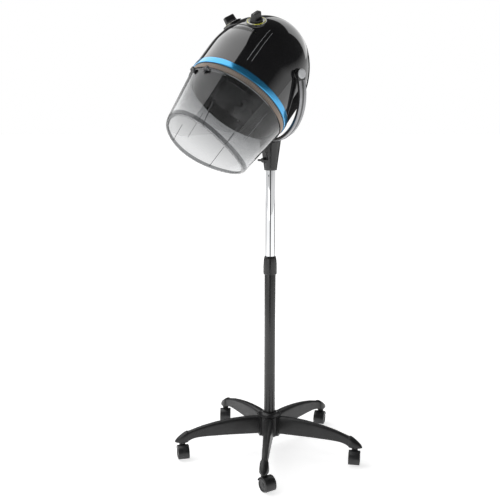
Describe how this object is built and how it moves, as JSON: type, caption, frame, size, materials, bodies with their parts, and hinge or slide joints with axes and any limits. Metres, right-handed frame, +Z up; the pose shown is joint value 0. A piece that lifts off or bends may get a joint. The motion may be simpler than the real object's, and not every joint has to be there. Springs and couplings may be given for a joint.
{
  "type": "hood hair dryer",
  "caption": "Floor-standing salon hood hair dryer: tilting domed hood with smoked visor on a telescopic pole with a castor base.",
  "frame": {"origin": "on the floor, under the centre line of the pole", "axes": "+Z up along the pole, +X towards the front of the hood, +Y to the hood's left"},
  "size_m": [0.6985, 0.6441, 1.4719],
  "materials": {
    "base_black": "fine moulded grain",
    "castor_black": "satin moulded nylon",
    "steel": "zinc plated",
    "pole_black": "satin powder coat",
    "nylon": "natural nylon",
    "collar_black": "moulded, slightly glossy",
    "chrome": "mirror chrome plate",
    "yoke_black": "gloss black",
    "cap_grey": "satin light grey",
    "hood_black": "piano black gloss",
    "accent_blue": "metallic blue, glossy",
    "vent_bronze": "fine ribs, bronze grey",
    "drum_black": "glossy black moulding",
    "visor_smoke": "clear smoke-grey polycarbonate, polished",
    "dial_white": "printed dial ring",
    "knob_black": "matt black",
    "unit_cream": "moulded case",
    "switch_brown": "phenolic moulding",
    "motor_metal": "pressed steel can",
    "fan_grey": "moulded fan",
    "mica": "mica sheet",
    "heater_wire": "heat-tinted resistance wire"
  },
  "bodies": {
    "base": {"base_hub": "base_black", "hub_cover": "base_black", "hub_bolt": "steel", "leg_screws": "steel", "leg_1": "base_black", "leg_2": "base_black", "leg_3": "base_black", "leg_4": "base_black", "leg_5": "base_black", "lower_tube": "pole_black", "guide_bush": "nylon", "collar_ferrule": "collar_black"},
    "castor_1": {"castor_fork_1": "castor_black", "castor_stem_1": "steel"},
    "wheels_1": {"castor_wheels_1": "castor_black"},
    "castor_2": {"castor_fork_2": "castor_black", "castor_stem_2": "steel"},
    "wheels_2": {"castor_wheels_2": "castor_black"},
    "castor_3": {"castor_fork_3": "castor_black", "castor_stem_3": "steel"},
    "wheels_3": {"castor_wheels_3": "castor_black"},
    "castor_4": {"castor_fork_4": "castor_black", "castor_stem_4": "steel"},
    "wheels_4": {"castor_wheels_4": "castor_black"},
    "castor_5": {"castor_fork_5": "castor_black", "castor_stem_5": "steel"},
    "wheels_5": {"castor_wheels_5": "castor_black"},
    "collar": {"clamp_collar": "collar_black"},
    "mast": {"upper_tube": "chrome", "tube_foot": "nylon"},
    "head": {"head_bracket": "collar_black", "yoke": "yoke_black", "yoke_screws": "steel", "pivot_pins": "steel", "pivot_caps": "cap_grey"},
    "lock": {"lock_screw": "collar_black"},
    "flap": {"visor_flap": "visor_smoke"},
    "timer_dial": {"timer_knob": "knob_black"},
    "heat_dial": {"heat_knob": "knob_black"},
    "rotor": {"motor_shaft": "steel", "fan": "fan_grey"},
    "hood": {"hood_shell": "hood_black", "friction_washers": "collar_black", "accent_band": "accent_blue", "vent_ring": "vent_bronze", "inner_drum": "drum_black", "visor_ring": "visor_smoke", "visor_pins": "steel", "control_panel": "hood_black", "dial_rings": "dial_white", "timer_unit": "unit_cream", "heat_switch": "switch_brown", "motor": "motor_metal", "motor_bracket": "motor_metal", "heater_frame": "mica", "heater_coil": "heater_wire", "thermostat": "unit_cream", "terminal_block": "nylon", "cable_gland": "collar_black", "shell_screws": "steel"}
  },
  "joints": [
    {"name": "castor_swivel_1", "type": "hinge", "parent": "base", "child": "castor_1", "pos_m": [0.21395, 0.22156, 0.055], "axis": [0, 0, 1], "continuous": true},
    {"name": "wheel_roll_1", "type": "hinge", "parent": "castor_1", "child": "wheels_1", "pos_m": [0.21563, 0.23747, 0.023], "axis": [-0.9945, 0.1045, 0], "continuous": true},
    {"name": "castor_swivel_2", "type": "hinge", "parent": "base", "child": "castor_2", "pos_m": [-0.1446, 0.27195, 0.055], "axis": [0, 0, 1], "continuous": true},
    {"name": "wheel_roll_2", "type": "hinge", "parent": "castor_2", "child": "wheels_2", "pos_m": [-0.13216, 0.28202, 0.023], "axis": [-0.6293, 0.7771, 0], "continuous": true},
    {"name": "castor_swivel_3", "type": "hinge", "parent": "base", "child": "castor_3", "pos_m": [-0.30332, -0.05348, 0.055], "axis": [0, 0, 1], "continuous": true},
    {"name": "wheel_roll_3", "type": "hinge", "parent": "castor_3", "child": "wheels_3", "pos_m": [-0.29006, -0.04454, 0.023], "axis": [-0.5592, 0.829, 0], "continuous": true},
    {"name": "castor_swivel_4", "type": "hinge", "parent": "base", "child": "castor_4", "pos_m": [-0.04287, -0.305, 0.055], "axis": [0, 0, 1], "continuous": true},
    {"name": "wheel_roll_4", "type": "hinge", "parent": "castor_4", "child": "wheels_4", "pos_m": [-0.03237, -0.29293, 0.023], "axis": [-0.7547, 0.6561, 0], "continuous": true},
    {"name": "castor_swivel_5", "type": "hinge", "parent": "base", "child": "castor_5", "pos_m": [0.27683, -0.13502, 0.055], "axis": [0, 0, 1], "continuous": true},
    {"name": "wheel_roll_5", "type": "hinge", "parent": "castor_5", "child": "wheels_5", "pos_m": [0.28384, -0.12064, 0.023], "axis": [-0.8988, 0.4384, 0], "continuous": true},
    {"name": "collar_twist", "type": "hinge", "parent": "base", "child": "collar", "pos_m": [0, 0, 0.655], "axis": [0, 0, 1], "range_deg": [0, 90]},
    {"name": "height_slide", "type": "slide", "parent": "base", "child": "mast", "axis": [0, 0, 1], "range_m": [-0.28, 0.085]},
    {"name": "head_swivel", "type": "hinge", "parent": "mast", "child": "head", "pos_m": [0, 0, 1.013], "axis": [0, 0, 1], "continuous": true},
    {"name": "lock_turn", "type": "hinge", "parent": "head", "child": "lock", "pos_m": [0.03, 0, 1.009], "axis": [1, 0, 0], "range_deg": [0, 180]},
    {"name": "hood_tilt", "type": "hinge", "parent": "head", "child": "hood", "pos_m": [0.0365, 0, 1.28], "axis": [0, -1, 0], "range_deg": [0, 45]},
    {"name": "visor_flip", "type": "hinge", "parent": "hood", "child": "flap", "pos_m": [0.28667, 0, 1.29267], "axis": [0, -1, 0], "range_deg": [0, 75]},
    {"name": "timer_turn", "type": "hinge", "parent": "hood", "child": "timer_dial", "pos_m": [0.11061, 0.05826, 1.43667], "axis": [-0.3546, -0.3581, -0.8638], "range_deg": [0, 300]},
    {"name": "heat_turn", "type": "hinge", "parent": "hood", "child": "heat_dial", "pos_m": [0.11061, -0.05826, 1.43667], "axis": [-0.3546, 0.3581, -0.8638], "range_deg": [0, 270]},
    {"name": "fan_spin", "type": "hinge", "parent": "hood", "child": "rotor", "pos_m": [0.03938, 0, 1.31101], "axis": [-0.673, 0, 0.7396], "continuous": true}
  ]
}
